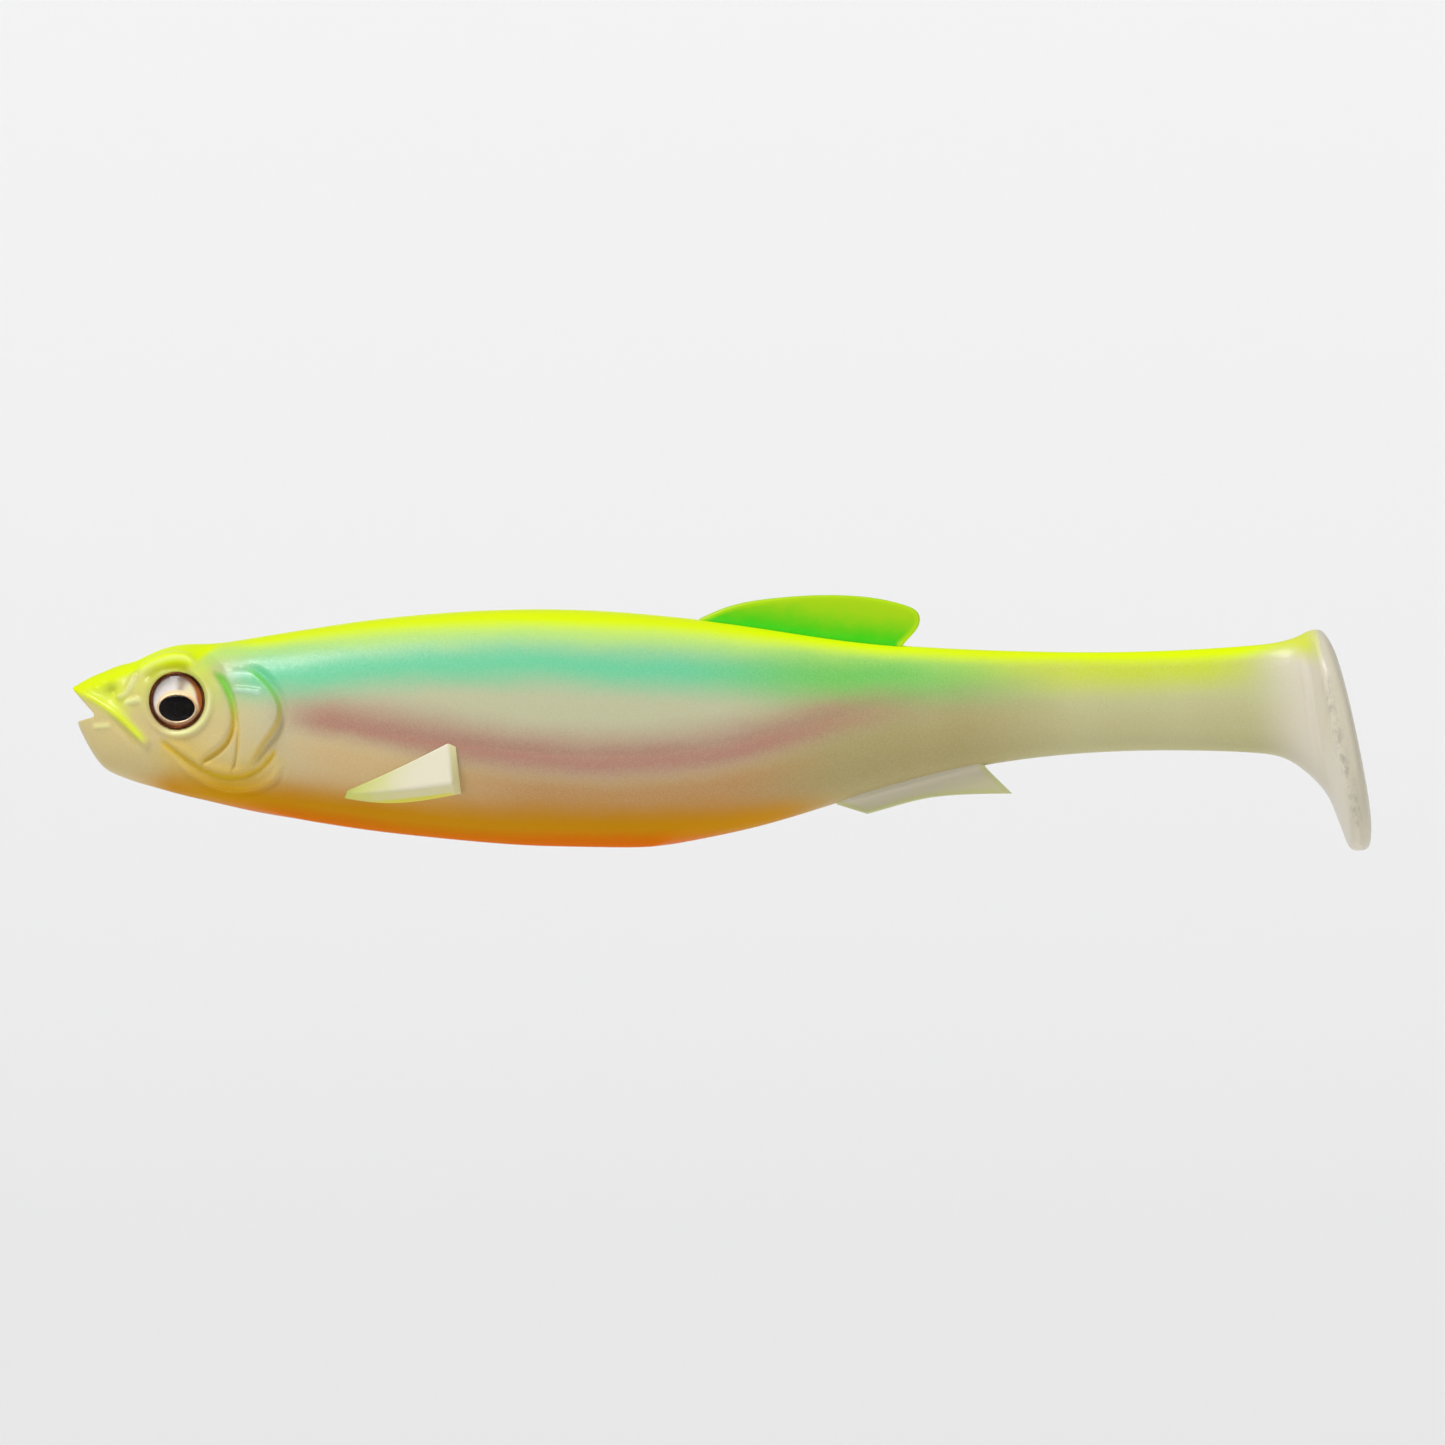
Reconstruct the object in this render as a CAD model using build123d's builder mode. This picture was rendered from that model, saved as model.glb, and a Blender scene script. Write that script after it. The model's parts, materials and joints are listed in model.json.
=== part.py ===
"""Paddle-tail soft swimbait, 6 inch class.

A soft vinyl fish with moulded-in fins, a thin tail stem and a wide tail paddle, and a pair of domed lure eyes
set in sockets. The moulding is divided at its flexures, where upright knuckles let it swim from side to side.

Millimetres. The origin is the mouth's corner on the centre plane, the point where a bait is rigged.
+X runs from the nose to the tail, +Y to the fish's right side, +Z up.
"""

import os
from math import cos, radians, sin, tan

from build123d import *

# Driving dimensions
CLEAR = 0.2  # running gap between two pieces of the moulding that move
SEAT = 0.03  # gap between two pieces that are glued together
FULLNESS = 0.60  # handle length of a section's quarter curves; 0.55 would be an ellipse
CUT_HEIGHT = 60  # taller than anything that is cut
CUT_WIDTH = 11  # half the plan width of a cut, wider than any piece

# The moulding's sections, nose to tail: x, back z, belly z, half width
TRUNK_STATIONS = (
    (-2.6, 3.2, 2.1, 0.5),
    (-1.6, 3.8, -2.8, 1.9),
    (0.0, 4.5, -5.5, 3.0),
    (3.0, 5.7, -7.5, 4.3),
    (7.0, 7.2, -8.7, 5.3),
    (11.0, 8.1, -9.8, 6.0),
    (17.0, 8.6, -11.2, 6.9),
    (24.0, 9.8, -12.4, 7.7),
    (34.0, 11.2, -13.9, 8.3),
    (46.0, 12.1, -15.1, 8.6),
    (58.0, 12.1, -15.7, 8.4),
    (68.0, 11.4, -15.4, 7.8),
    (78.0, 10.1, -13.2, 6.7),
    (88.0, 8.6, -10.3, 5.4),
    (98.0, 7.7, -7.4, 4.1),
    (108.0, 7.3, -5.5, 3.2),
    (120.0, 7.2, -4.5, 2.6),
    (134.0, 7.9, -4.5, 2.4),
)
# The flare into the paddle, whose sections lean back more and more
# (top x, top z, bottom x, bottom z, half width)
FLARE_STATIONS = (
    (130.5, 7.7, 130.5, -4.45, 2.4),
    (136.5, 8.1, 136.5, -4.7, 2.5),
    (141.0, 9.0, 142.2, -7.0, 4.3),
    (143.3, 9.3, 146.3, -13.0, 8.2),
)
# The paddle itself: an oval plate that leans back
PADDLE_X, PADDLE_Z = 145.9, -3.1
PADDLE_LEAN = 11.5  # degrees
PADDLE_HEIGHT, PADDLE_WIDTH, PADDLE_THICK = 26.2, 19.8, 3.0
PADDLE_EDGE_RADIUS = 1.2

# Flexures: x of the vertical axis, knuckle radius, largest bend in degrees
BODY_BEND = (69.5, 3.0, 10.0)
STEM_FRONT_BEND = (109.0, 2.2, 20.0)
STEM_REAR_BEND = (121.0, 1.8, 20.0)
PADDLE_KICK = (133.0, 1.7, 30.0)
NOSE_END = (-20.0, 0.0, 0.0)
TAIL_END = (170.0, 0.0, 0.0)

# Mouth: a wedge open to the front, its corner at the origin
MOUTH_DEPTH = 4.0
MOUTH_UPPER = 3.6  # height of the upper lip over the corner, at the front
MOUTH_LOWER = 1.1
MOUTH_CORNER_RADIUS = 0.35

# Belly slot for a hook's shank and weight
SLOT_START, SLOT_END = 26.0, 65.0
SLOT_ROOF_Z = -6.5
SLOT_WIDTH = 4.4

# Eyes, mirrored left and right
EYE_X, EYE_Y, EYE_Z = 9.95, 5.62, 1.5
EYE_TURN = 10.0  # degrees that each eye looks forward
EYE_RADIUS = 3.35
SOCKET_REACH = 3.0  # how far a socket's cut runs out past the eye's plane, clear of the skin
CUP_DEPTH = 2.2
CUP_WALL = 0.35
CUP_FLOOR = 0.5
CUP_PROUD = 0.25
FOIL_THICK = 0.2
PUPIL_WIDTH, PUPIL_HEIGHT, PUPIL_THICK = 4.2, 3.0, 0.25
PUPIL_DROP = 0.88
LENS_PROUD = 1.0
LENS_DOME_RADIUS = 5.6

# Fins that flex about their roots: root's front and rear ends, x and z
DORSAL_ROOT = ((70.9, 11.15), (94.6, 8.0))
ANAL_ROOT = ((87.0, -10.7), (104.2, -6.1))
DORSAL_THICK = 1.6
ANAL_THICK = 1.4
DORSAL_TOP = ((73.8, 12.5), (79.7, 13.6), (85.5, 13.9), (91.4, 13.5), (95.2, 12.6))
DORSAL_LOBE = (96.8, 11.1)
DORSAL_TRAILING = (96.2, 9.7)
DORSAL_TRAILING_TANGENTS = ((0.15, -1.0), (-1.0, -0.9))  # down from the lobe, then forward into the back
ANAL_FRONT_POINT = (90.6, -11.8)
ANAL_EDGE = ((93.4, -11.0), (97.3, -10.0), (102.4, -9.5))
ANAL_REAR_POINT = (107.6, -9.4)

# Pectoral fins: wedges that widen from a buried front point, with a short bevel down to the skin at the rear
# (x, lean in degrees, corners as (distance from the centre plane, z)). A negative lean tips the top forwards.
# The corners run top, ridge, lower outer, lower inner.
PECTORAL_SECTIONS = (
    (29.8, 0.0, ((6.0, -9.2), (6.5, -9.4), (6.4, -9.9), (5.5, -9.9))),
    (33.8, -2.0, ((7.75, -7.1), (8.2, -9.0), (7.4, -10.4), (5.0, -10.3))),
    (41.35, -6.0, ((8.65, -3.3), (10.5, -8.1), (9.6, -9.5), (5.0, -9.5))),
    (42.15, -6.0, ((8.55, -3.7), (9.0, -7.9), (8.2, -9.3), (5.0, -9.4))),
)
SIDES = (("left", -1), ("right", 1))


def body_section(plane, top, bottom, half_width):
    """A closed fish section on the plane, from four quarter curves. Top and bottom are the plane's own y."""
    middle = (top + bottom) / 2
    k = FULLNESS
    with BuildSketch(plane) as section:
        with BuildLine():
            for side in (1, -1):
                w = side * half_width
                for end in (top, bottom):
                    Bezier((0, end), (k * w, end), (w, middle + k * (end - middle)), (w, middle))
        make_face()
    return section.sketch


def leaning_section(top_x, top_z, bottom_x, bottom_z, half_width):
    """A section whose plane passes through a top point and a bottom point of the side outline."""
    top, bottom = Vector(top_x, 0, top_z), Vector(bottom_x, 0, bottom_z)
    across = Vector(0, 1, 0)
    up = (top - bottom).normalized()
    plane = Plane(origin=(top + bottom) * 0.5, x_dir=across, z_dir=across.cross(up))
    half_height = (top - bottom).length / 2
    return body_section(plane, half_height, -half_height, half_width)


def segment_outline(front, rear):
    """Plan of the piece between two flexures: a round knuckle in front, a socket behind, bevelled sides."""
    (front_x, front_r, front_bend), (rear_x, rear_r, rear_bend) = front, rear
    relief = 1.0  # degrees left over at each limit
    front_bevel = CUT_WIDTH * tan(radians(front_bend / 2 + relief))
    rear_bevel = CUT_WIDTH * tan(radians(rear_bend / 2 + relief))
    with BuildSketch(Plane.XY.offset(-CUT_HEIGHT / 2)) as outline:
        with BuildLine():
            Polyline(
                (front_x, 0),
                (front_x + front_bevel, CUT_WIDTH),
                (rear_x - rear_bevel, CUT_WIDTH),
                (rear_x, 0),
                (rear_x - rear_bevel, -CUT_WIDTH),
                (front_x + front_bevel, -CUT_WIDTH),
                close=True,
            )
        make_face()
        if front_r:
            with Locations((front_x, 0)):
                Circle(front_r)
        if rear_r:
            with Locations((rear_x, 0)):
                Circle(rear_r + CLEAR, mode=Mode.SUBTRACT)
    return outline.sketch


def eye_plane(side):
    """The plane of an eye on the head's surface, looking out; side is -1 on the left and 1 on the right."""
    turn = radians(EYE_TURN)
    return Plane(
        origin=(EYE_X, side * EYE_Y, EYE_Z),
        x_dir=(-side * cos(turn), -sin(turn), 0),
        z_dir=(-sin(turn), side * cos(turn), 0),
    )


def root_line(root):
    """The flexing axis of a fin, as a plane at the root's front end whose z runs along the root."""
    (front_x, front_z), (rear_x, rear_z) = root
    along = Vector(rear_x - front_x, 0, rear_z - front_z)
    return Plane(origin=(front_x, 0, front_z), x_dir=(0, 1, 0), z_dir=along), along.length


# The whole moulding, before it is divided
with BuildPart() as trunk:
    for x, top, bottom, half_width in TRUNK_STATIONS:
        add(body_section(Plane.YZ.offset(x), top, bottom, half_width))
    loft()

with BuildPart() as plate:
    lean = radians(PADDLE_LEAN)
    with BuildSketch(Plane(origin=(PADDLE_X, 0, PADDLE_Z), x_dir=(0, 1, 0), z_dir=(cos(lean), 0, sin(lean)))):
        Ellipse(PADDLE_WIDTH / 2, PADDLE_HEIGHT / 2)
    extrude(amount=PADDLE_THICK / 2, both=True)
    fillet(plate.edges(), PADDLE_EDGE_RADIUS)

with BuildPart() as tail:
    for station in FLARE_STATIONS:
        add(leaning_section(*station))
    loft()
    add(plate.part)

# Head and fore trunk, with the mouth, the eye sockets and the belly slot
with BuildPart() as front_body:
    extrude(segment_outline(NOSE_END, BODY_BEND), amount=CUT_HEIGHT)
    add(trunk.part, mode=Mode.INTERSECT)
    with BuildSketch(Plane.XZ.offset(-CUT_WIDTH)):
        with BuildLine():
            FilletPolyline(
                (-MOUTH_DEPTH, MOUTH_UPPER), (0, 0), (-MOUTH_DEPTH, -MOUTH_LOWER), radius=MOUTH_CORNER_RADIUS
            )
            Line((-MOUTH_DEPTH, -MOUTH_LOWER), (-MOUTH_DEPTH, MOUTH_UPPER))
        make_face()
    extrude(amount=2 * CUT_WIDTH, mode=Mode.SUBTRACT)
    for side in (-1, 1):
        with BuildSketch(eye_plane(side).offset(-CUP_DEPTH - SEAT)):
            Circle(EYE_RADIUS + SEAT)
        extrude(amount=CUP_DEPTH + SOCKET_REACH, mode=Mode.SUBTRACT)
    with BuildSketch(Plane.XY.offset(SLOT_ROOF_Z)):
        with Locations(((SLOT_START + SLOT_END) / 2, 0)):
            SlotOverall(SLOT_END - SLOT_START, SLOT_WIDTH)
    extrude(amount=-CUT_HEIGHT, mode=Mode.SUBTRACT)

# The trunk behind the body's flexure, grooved for the roots of the dorsal and anal fins
with BuildPart() as rear_body:
    extrude(segment_outline(BODY_BEND, STEM_FRONT_BEND), amount=CUT_HEIGHT)
    add(trunk.part, mode=Mode.INTERSECT)
    for root, thickness in ((DORSAL_ROOT, DORSAL_THICK), (ANAL_ROOT, ANAL_THICK)):
        line, length = root_line(root)
        with BuildSketch(line.offset(-CLEAR)):
            Circle(thickness / 2 + CLEAR)
        extrude(amount=length + 2 * CLEAR, mode=Mode.SUBTRACT)

with BuildPart() as tail_stem_front:
    extrude(segment_outline(STEM_FRONT_BEND, STEM_REAR_BEND), amount=CUT_HEIGHT)
    add(trunk.part, mode=Mode.INTERSECT)

with BuildPart() as tail_stem_rear:
    extrude(segment_outline(STEM_REAR_BEND, PADDLE_KICK), amount=CUT_HEIGHT)
    add(trunk.part, mode=Mode.INTERSECT)

with BuildPart() as tail_paddle:
    extrude(segment_outline(PADDLE_KICK, TAIL_END), amount=CUT_HEIGHT)
    add(tail.part, mode=Mode.INTERSECT)

# Dorsal fin: a rounded blade whose rear lobe hangs over the back, on a rounded root
with BuildPart() as dorsal_fin:
    line, length = root_line(DORSAL_ROOT)
    with BuildSketch(line):
        Circle(DORSAL_THICK / 2)
    extrude(amount=length)
    with BuildSketch(Plane.XZ):
        with BuildLine():
            (front_x, front_z), (rear_x, rear_z) = DORSAL_ROOT
            Line((rear_x, rear_z), (front_x, front_z))
            Spline((front_x, front_z), *DORSAL_TOP, DORSAL_LOBE)
            Spline(DORSAL_LOBE, DORSAL_TRAILING, (rear_x, rear_z), tangents=DORSAL_TRAILING_TANGENTS)
        make_face()
    extrude(amount=DORSAL_THICK / 2, both=True)

# Anal fin: a swallow-tailed blade with a point at each end
with BuildPart() as anal_fin:
    line, length = root_line(ANAL_ROOT)
    with BuildSketch(line):
        Circle(ANAL_THICK / 2)
    extrude(amount=length)
    with BuildSketch(Plane.XZ):
        with BuildLine():
            (front_x, front_z), (rear_x, rear_z) = ANAL_ROOT
            Polyline(ANAL_REAR_POINT, (rear_x, rear_z), (front_x, front_z), ANAL_FRONT_POINT)
            Spline(ANAL_FRONT_POINT, *ANAL_EDGE, ANAL_REAR_POINT)
        make_face()
    extrude(amount=ANAL_THICK / 2, both=True)

# Pectoral fins: wedges on the flanks, flush with the skin at the front point
pectoral_fins = {}
for name, side in SIDES:
    with BuildPart() as pectoral_fin:
        for x, lean, corners in PECTORAL_SECTIONS:
            with BuildSketch(Plane.YZ.offset(x).rotated((0, lean, 0))):
                with BuildLine():
                    Polyline(*[(side * y, z) for y, z in corners], close=True)
                make_face()
        loft(ruled=True)
        add(front_body.part, mode=Mode.SUBTRACT)
    pectoral_fins[name] = pectoral_fin

# Eyes, from the socket outwards: cup, foil, pupil, lens
eyes = {}
for name, side in SIDES:
    face = eye_plane(side)
    cup_floor = -CUP_DEPTH + CUP_FLOOR
    foil_top = cup_floor + SEAT + FOIL_THICK
    pupil_top = foil_top + SEAT + PUPIL_THICK
    bore = EYE_RADIUS - CUP_WALL
    with BuildPart() as eye_cup:
        with BuildSketch(face.offset(-CUP_DEPTH)):
            Circle(EYE_RADIUS)
        extrude(amount=CUP_DEPTH + CUP_PROUD)
        with BuildSketch(face.offset(cup_floor)):
            Circle(bore)
        extrude(amount=CUP_DEPTH + CUP_PROUD, mode=Mode.SUBTRACT)
    with BuildPart() as eye_foil:
        with BuildSketch(face.offset(cup_floor + SEAT)):
            Circle(bore - SEAT)
        extrude(amount=FOIL_THICK)
    with BuildPart() as eye_pupil:
        with BuildSketch(face.offset(foil_top + SEAT)):
            with Locations((0, -PUPIL_DROP)):
                Ellipse(PUPIL_WIDTH / 2, PUPIL_HEIGHT / 2)
        extrude(amount=PUPIL_THICK)
    with BuildPart() as eye_lens:
        with BuildSketch(face.offset(pupil_top + SEAT)):
            Circle(bore - SEAT)
        extrude(amount=LENS_PROUD - pupil_top - SEAT)
        with Locations(face.offset(LENS_PROUD - LENS_DOME_RADIUS)):
            Sphere(LENS_DOME_RADIUS, mode=Mode.INTERSECT)
    eyes[name] = {"cup": eye_cup, "foil": eye_foil, "pupil": eye_pupil, "lens": eye_lens}

pieces = {
    "front_body": front_body,
    "rear_body": rear_body,
    "tail_stem_front": tail_stem_front,
    "tail_stem_rear": tail_stem_rear,
    "tail_paddle": tail_paddle,
    "dorsal_fin": dorsal_fin,
    "anal_fin": anal_fin,
}
for name, _ in SIDES:
    pieces[f"{name}_pectoral_fin"] = pectoral_fins[name]
    for layer, builder in eyes[name].items():
        pieces[f"{name}_eye_{layer}"] = builder

os.makedirs("parts", exist_ok=True)
for name, builder in pieces.items():
    builder.part.label = name
    export_step(builder.part, f"parts/{name}.step")
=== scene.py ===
import json
import math

import bmesh
import bpy
import numpy as np
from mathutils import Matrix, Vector


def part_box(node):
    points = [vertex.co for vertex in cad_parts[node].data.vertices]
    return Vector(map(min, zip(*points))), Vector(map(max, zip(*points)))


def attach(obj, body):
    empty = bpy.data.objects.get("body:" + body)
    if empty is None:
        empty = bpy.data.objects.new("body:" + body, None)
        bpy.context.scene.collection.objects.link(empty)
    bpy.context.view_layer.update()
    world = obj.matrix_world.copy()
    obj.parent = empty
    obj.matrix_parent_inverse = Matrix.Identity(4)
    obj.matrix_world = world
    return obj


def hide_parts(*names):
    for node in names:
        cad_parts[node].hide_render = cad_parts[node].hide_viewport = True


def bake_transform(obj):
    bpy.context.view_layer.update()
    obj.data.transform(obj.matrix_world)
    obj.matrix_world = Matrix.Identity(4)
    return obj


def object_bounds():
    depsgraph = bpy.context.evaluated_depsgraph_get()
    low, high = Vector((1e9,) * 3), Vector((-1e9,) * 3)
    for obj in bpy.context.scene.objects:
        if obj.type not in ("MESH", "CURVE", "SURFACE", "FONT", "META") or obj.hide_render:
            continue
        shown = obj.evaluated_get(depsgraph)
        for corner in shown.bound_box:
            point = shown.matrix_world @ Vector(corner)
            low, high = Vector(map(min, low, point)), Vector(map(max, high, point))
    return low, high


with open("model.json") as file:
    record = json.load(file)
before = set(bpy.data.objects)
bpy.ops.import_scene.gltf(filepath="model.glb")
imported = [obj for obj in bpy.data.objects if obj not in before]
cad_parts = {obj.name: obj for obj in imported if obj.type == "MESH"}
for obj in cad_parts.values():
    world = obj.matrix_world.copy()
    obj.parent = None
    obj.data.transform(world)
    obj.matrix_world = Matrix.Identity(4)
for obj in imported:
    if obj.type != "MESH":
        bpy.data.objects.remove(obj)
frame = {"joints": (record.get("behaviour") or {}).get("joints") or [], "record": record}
cad_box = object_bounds()

# A paddle-tail soft swimbait. Shapes are worked out in millimetres, in the frame's own axes: +X to the tail,
# +Y to the fish's right side, +Z up, with the origin at the mouth's corner. They become metres when a mesh is
# made.
MM = 0.001
joints = {joint["name"]: joint for joint in frame["joints"]}

# ---- the moulding's shape

FULLNESS = 0.60  # handle length of a section's quarter curves; 0.55 would be an ellipse
AROUND = 256  # points round a section, a multiple of 4

# Sections from the nose tip to the tail stem: x, back z, belly z, half width
TRUNK = (
    (-2.70, 2.95, 2.95, 0.00),
    (-2.35, 3.22, 0.90, 1.05),
    (-1.98, 3.47, -1.27, 1.55),
    (-1.30, 3.87, -2.85, 2.15),
    (-0.30, 4.38, -4.65, 2.85),
    (1.00, 4.92, -6.30, 3.45),
    (2.90, 5.66, -7.35, 4.25),
    (4.60, 6.12, -7.98, 4.75),
    (6.40, 6.95, -8.50, 5.20),
    (9.90, 8.05, -9.48, 5.85),
    (13.4, 8.20, -10.3, 6.40),
    (18.7, 8.90, -11.5, 7.10),
    (24.0, 9.75, -12.4, 7.70),
    (31.0, 10.8, -13.5, 8.15),
    (41.5, 11.85, -14.7, 8.55),
    (50.0, 12.22, -15.4, 8.60),
    (59.0, 12.05, -15.65, 8.40),
    (63.0, 11.78, -15.68, 8.22),
    (66.6, 11.45, -15.48, 7.94),
    (70.0, 11.10, -14.93, 7.60),
    (78.0, 10.05, -13.2, 6.70),
    (88.0, 8.60, -10.2, 5.40),
    (98.0, 7.75, -7.40, 4.10),
    (108.0, 7.33, -5.50, 3.20),
    (120.0, 7.22, -4.45, 2.60),
    (131.0, 7.65, -4.40, 2.40),
)
# The flare and the paddle, whose sections lean back: top x, top z, bottom x, bottom z, half width
TAIL = (
    (136.0, 8.02, 136.2, -4.64, 2.50),
    (139.0, 8.42, 139.6, -5.30, 3.00),
    (141.0, 9.05, 142.4, -7.16, 4.20),
    (141.9, 9.50, 144.65, -9.70, 6.20),
    (142.4, 9.72, 146.0, -12.7, 8.50),
    (142.8, 9.82, 146.9, -15.0, 9.60),
    (143.3, 9.86, 147.45, -15.95, 9.85),
    (143.8, 9.72, 148.4, -16.08, 9.90),
    (144.3, 9.20, 149.2, -15.85, 9.80),
    (144.75, 8.50, 149.55, -14.9, 9.20),
    (145.9, 5.30, 149.2, -10.7, 6.20),
    (147.7, -3.0, 147.7, -3.00, 0.00),
)
# How far apart the sections are drawn, by x
SPACING = ((-3, 0.12), (2, 0.16), (24, 0.18), (30, 0.5), (128, 0.5), (138, 0.3), (150, 0.3))
SEAMS = (98, 115, 127)  # where one skin ends and the next begins, between the stretches that bend


def spline(knots, values, at):
    """The values at the given places on the natural cubic spline through the knots."""
    knots, values = np.asarray(knots, float), np.asarray(values, float)
    columns = values.reshape(len(knots), -1)
    gaps = np.diff(knots)
    slopes = np.diff(columns, axis=0) / gaps[:, None]
    system = np.eye(len(knots))
    right = np.zeros_like(columns)
    for i in range(1, len(knots) - 1):
        system[i, i - 1 : i + 2] = gaps[i - 1], 2 * (gaps[i - 1] + gaps[i]), gaps[i]
        right[i] = 6 * (slopes[i] - slopes[i - 1])
    bend = np.linalg.solve(system, right)
    at = np.clip(at, knots[0], knots[-1])
    i = np.clip(np.searchsorted(knots, at) - 1, 0, len(knots) - 2)
    gap, left, rest = gaps[i][:, None], (at - knots[i])[:, None], (knots[i + 1] - at)[:, None]
    found = bend[i] * rest**3 + bend[i + 1] * left**3
    found = found / (6 * gap) + (columns[i] / gap - bend[i] * gap / 6) * rest
    found = found + (columns[i + 1] / gap - bend[i + 1] * gap / 6) * left
    return found.reshape((len(at),) + values.shape[1:])


def ramp(x, low, high):
    """0 below low, 1 above high and smooth between."""
    t = np.clip((x - low) / (high - low), 0, 1)
    return t * t * (3 - 2 * t)


def bell(x, width):
    """A smooth bump of height 1 at x 0."""
    return np.exp(-((x / width) ** 2))


def chord_lengths(points):
    """The distance travelled from the first point to each point."""
    return np.concatenate([[0], np.cumsum(np.linalg.norm(np.diff(points, axis=0), axis=1))])


def drawn_curve(points, count=60):
    """Evenly spaced points on the smooth curve through a few chosen ones."""
    points = np.asarray(points, float)
    along = chord_lengths(points)
    return spline(along, points, np.linspace(0, along[-1], count))


def quarter(t):
    """A section's quarter curve, as shares of its half width and half height."""
    r = 1 - t
    across = 3 * r * r * t * FULLNESS + 3 * r * t * t + t**3
    up = r**3 + 3 * r * r * t + 3 * r * t * t * FULLNESS
    return across, up


def section_shape():
    """Points once round a section: back, right side, belly, left side."""
    steps = np.arange(AROUND // 4) / (AROUND // 4)
    across, up = quarter(steps)
    across_back, up_back = quarter(1 - steps)
    return (
        np.concatenate([across, across_back, -across, -across_back]),
        np.concatenate([up, -up_back, -up, up_back]),
    )


def body_rings():
    """The moulding's plain surface: an array of sections, each a ring of points."""
    rows = [(x, back, x, belly, width) for x, back, belly, width in TRUNK]
    rows = np.array(rows + list(TAIL))
    along = chord_lengths(rows)
    fine = np.linspace(0, along[-1], 6000)
    drawn = spline(along, rows, fine)
    middle_x = (drawn[:, 0] + drawn[:, 2]) / 2
    step = np.interp(middle_x, *zip(*SPACING))
    count = np.concatenate([[0], np.cumsum(np.diff(chord_lengths(drawn)) / step[1:])])
    # The two end points close the mesh on their own
    wanted = np.interp(np.linspace(0, count[-1], int(count[-1])), count, fine)[1:-1]
    top_x, top_z, low_x, low_z, width = spline(along, rows, wanted).T[:, :, None]
    across, up = section_shape()
    share = (1 + up) / 2
    rings = np.empty((len(wanted), AROUND, 3))
    rings[:, :, 0] = low_x + (top_x - low_x) * share
    rings[:, :, 1] = np.maximum(width, 0.02) * across
    rings[:, :, 2] = low_z + (top_z - low_z) * share
    return rings, rows[0, :2], rows[-1, :2]


def ring_normals(rings):
    """Outward directions of the surface at each point of the rings."""
    round_it = np.roll(rings, -1, axis=1) - np.roll(rings, 1, axis=1)
    along = np.gradient(rings, axis=0)
    normals = np.cross(round_it, along)
    normals /= np.maximum(np.linalg.norm(normals, axis=2, keepdims=True), 1e-9)
    outward = rings - rings.mean(axis=1, keepdims=True)
    if (normals * outward).sum() < 0:
        normals = -normals
    return normals


# ---- the head's relief

# The eye, from the CAD cup: its axis leans forward and its face is at the cup's rim
EYE_TURN = math.radians(10)
CUP_DEPTH, CUP_PROUD = 2.2, 0.25


def eye_frame(side):
    """Centre of the eye's face in mm, and the directions forward, up and out. side is -1 on the left."""
    low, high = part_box("left_eye_cup" if side < 0 else "right_eye_cup")
    out = np.array([-math.sin(EYE_TURN), side * math.cos(EYE_TURN), 0])
    forward = np.array([-math.cos(EYE_TURN), -side * math.sin(EYE_TURN), 0])
    up = np.array([0, 0, 1])
    centre = np.array((low + high) / 2) / MM + out * (CUP_DEPTH - CUP_PROUD) / 2
    return centre, forward, up, out


HEAD_END = 26  # x behind all of the head's relief
RELIEF = 1.7  # how much deeper the head is carved than the heights below
# The camera's distance in mm. The curves are drawn as seen from there, where nearer places look spread out
AWAY = 942
# Curves on the side of the head, as x and z
HEAD_CURVES = {
    "maxilla": ((-2.5, 2.9), (1.4, 0.7), (4.1, -1.6), (6.4, -4)),
    "snout": ((5, 4.9), (4.3, 3.6), (3.5, 2.3), (2.2, 1.8)),
    "glint": ((3.1, 1.2), (5.6, 1.7)),
    "brow": ((4.9, 3.6), (5.7, 5.2), (7.5, 6.2), (9.4, 6.6), (11.3, 6.2), (12.4, 5.1)),
    "lip": ((-0.6, -1.45), (0.4, -1.5), (2, -1.3)),
    "cheek": ((13.9, 5.2), (15.3, 3.1), (16, 1.1), (16.2, -1.3), (15.3, -3.6), (13.8, -4.9), (11.9, -6.2)),
    "second": ((14.5, 5), (15.9, 2.5), (16.6, -0.8), (16.6, -4.5), (15.9, -7.4)),
    "ridge": ((15.7, 2.8), (17.8, 2.6), (20, 2.2)),
    "cover": ((15.2, 4.2), (16.4, 4.5), (17.6, 4.7), (18.8, 4.4)),
    "edge": (
        (17, 5.2), (18.4, 4.8), (20, 3.5), (21.6, 0.6), (21.2, -1.4), (19.8, -3.3), (18.6, -5.2), (17, -7.3),
    ),
    "gill": ((7.2, -2.9), (10.3, -5.2), (12.7, -6.7), (15.3, -7.5), (18.2, -7.1), (20.4, -5.4), (21.4, -3.8)),
    "throat": ((9.2, -5.5), (12.3, -7.6), (15.3, -8.8), (18.2, -8.7), (20.6, -7.7), (22, -5.7)),
}
# Paint along the curves: the curve, the width and the strength
GROOVES = (
    ("cheek", 0.34, 0.85), ("gill", 0.42, 1), ("second", 0.3, 0.45), ("edge", 0.34, 0.6),
    ("throat", 0.3, 0.35),
)
# Painted highlights: pale paint along the ridge lines, the lower lip and the top of the gill cover, as the
# curve, the width and the strength
RIDGE_HIGHLIGHTS = (
    ("snout", 0.3, 0.75), ("glint", 0.32, 0.8), ("ridge", 0.26, 0.55), ("brow", 0.3, 0.4),
    ("lip", 0.32, 0.5), ("cover", 0.45, 0.45),
)
NOSTRIL = (1.75, 2.8)
# The lateral line, under the rose stripe
LATERAL = (
    (24, -0.6), (35.7, -2.4), (45, -3.8), (54.4, -4.8), (65, -4.8), (73.2, -3.8), (82.6, -1.5), (94.3, 1),
    (104, 2.4),
)


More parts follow.
